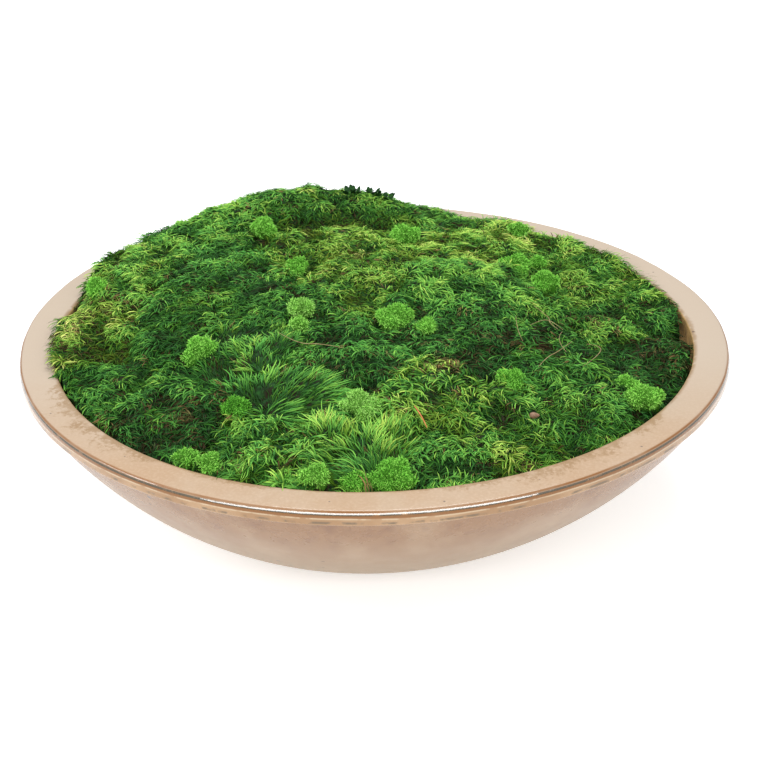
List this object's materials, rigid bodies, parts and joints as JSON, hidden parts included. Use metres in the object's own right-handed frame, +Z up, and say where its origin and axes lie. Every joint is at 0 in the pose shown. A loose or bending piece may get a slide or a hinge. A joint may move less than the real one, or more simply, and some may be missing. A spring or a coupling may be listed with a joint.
{
  "type": "moss bowl",
  "caption": "Wide shallow glazed bowl with a broad flat rim, heaped with cushion moss clumps and small round reindeer moss tufts.",
  "frame": {"origin": "middle of the foot ring, on the ground", "axes": "+Z up, -Y towards the viewer of the picture, +X to that viewer's right"},
  "size_m": [0.6, 0.6, 0.2022],
  "materials": {
    "glaze": "beige speckled glaze, brown where it breaks over the rim's edge",
    "foam": "dull green floral foam, out of sight",
    "cushion_moss": "preserved cushion moss, long fine shoots, yellow-green tips over dark green",
    "reindeer_moss": "dyed reindeer moss, bright green, finely branched"
  },
  "bodies": {
    "root": {"bowl": "glaze", "foam_bed": "foam", "cushion_moss_back_left": "cushion_moss", "cushion_moss_back": "cushion_moss", "cushion_moss_back_right": "cushion_moss", "cushion_moss_back_low": "cushion_moss", "cushion_moss_back_middle": "cushion_moss", "cushion_moss_left_shoulder": "cushion_moss", "cushion_moss_left_bank": "cushion_moss", "cushion_moss_upper_left": "cushion_moss", "cushion_moss_middle_left": "cushion_moss", "cushion_moss_left_front": "cushion_moss", "cushion_moss_front_left": "cushion_moss", "cushion_moss_swept_upper": "cushion_moss", "cushion_moss_swept_lower": "cushion_moss", "cushion_moss_crown": "cushion_moss", "cushion_moss_centre_left": "cushion_moss", "cushion_moss_centre": "cushion_moss", "cushion_moss_crown_right": "cushion_moss", "cushion_moss_upper_right": "cushion_moss", "cushion_moss_middle_right": "cushion_moss", "cushion_moss_right_back": "cushion_moss", "cushion_moss_right_middle": "cushion_moss", "cushion_moss_swirl": "cushion_moss", "cushion_moss_far_right": "cushion_moss", "cushion_moss_right_front": "cushion_moss", "cushion_moss_front_right": "cushion_moss", "cushion_moss_front_edge_right": "cushion_moss", "cushion_moss_front_combed": "cushion_moss", "cushion_moss_front_combed_left": "cushion_moss", "cushion_moss_front_centre": "cushion_moss", "cushion_moss_front_edge": "cushion_moss", "reindeer_moss_back_left": "reindeer_moss", "reindeer_moss_upper": "reindeer_moss", "reindeer_moss_crown_left": "reindeer_moss", "reindeer_moss_crown_low": "reindeer_moss", "reindeer_moss_left": "reindeer_moss", "reindeer_moss_heart": "reindeer_moss", "reindeer_moss_front_combed": "reindeer_moss", "reindeer_moss_back_right": "reindeer_moss", "reindeer_moss_front_left_a": "reindeer_moss", "reindeer_moss_front_left_b": "reindeer_moss", "reindeer_moss_front_a": "reindeer_moss", "reindeer_moss_front_b": "reindeer_moss", "reindeer_moss_front_c": "reindeer_moss", "reindeer_moss_front_d": "reindeer_moss", "reindeer_moss_right_a": "reindeer_moss", "reindeer_moss_right_b": "reindeer_moss", "reindeer_moss_right_c": "reindeer_moss", "reindeer_moss_back_edge": "reindeer_moss", "reindeer_moss_far_right_a": "reindeer_moss", "reindeer_moss_far_right_b": "reindeer_moss", "reindeer_moss_centre_a": "reindeer_moss", "reindeer_moss_centre_b": "reindeer_moss", "reindeer_moss_front_right": "reindeer_moss", "reindeer_moss_left_edge": "reindeer_moss"}
  },
  "joints": []
}
